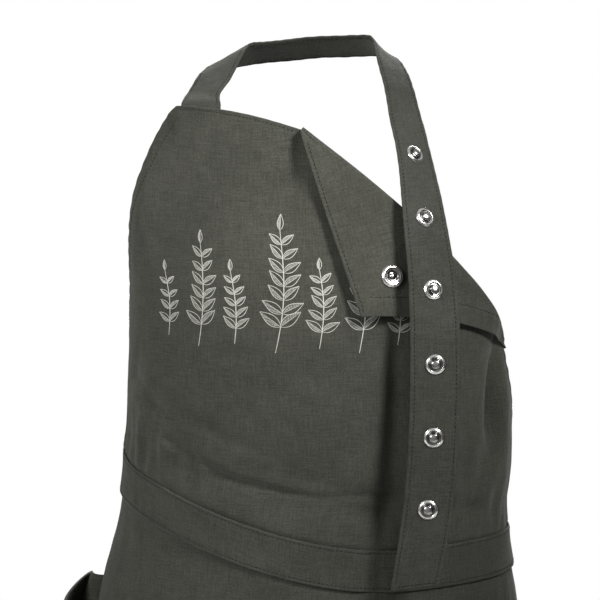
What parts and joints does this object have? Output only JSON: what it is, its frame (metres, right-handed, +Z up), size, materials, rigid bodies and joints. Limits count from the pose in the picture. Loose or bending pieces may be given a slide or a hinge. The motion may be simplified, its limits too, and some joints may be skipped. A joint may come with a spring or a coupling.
{
  "type": "gardening apron",
  "caption": "bib apron with its neck strap hanging open by its snaps, one bib corner turned down, waistband, bellows pockets and ties round the back",
  "frame": {"origin": "middle of the neck strap at the back of the neck", "axes": "+Z up, the wearer faces -Y, +X is the viewer's right"},
  "size_m": [0.4319, 0.2813, 0.8667],
  "materials": {
    "cloth": "woven cotton, matt",
    "strap_cloth": "folded woven cotton, matt, stitched edges",
    "snap_metal": "nickel plated, polished"
  },
  "bodies": {
    "root": {"bib": "cloth", "waistband": "cloth", "skirt": "cloth", "pocket_left": "cloth", "pocket_right": "cloth", "waist_tie_left": "cloth", "waist_tie_right": "cloth", "tie_knot": "cloth", "neck_strap": "strap_cloth", "snap_stud_1": "snap_metal", "snap_stud_2": "snap_metal", "snap_stud_3": "snap_metal", "snap_stud_4": "snap_metal", "snap_stud_5": "snap_metal", "snap_stud_6": "snap_metal", "snap_cap_1": "snap_metal", "snap_cap_2": "snap_metal", "snap_cap_3": "snap_metal", "snap_cap_4": "snap_metal", "snap_cap_5": "snap_metal", "snap_cap_6": "snap_metal", "flap_socket": "snap_metal", "flap_cap": "snap_metal"}
  },
  "joints": []
}
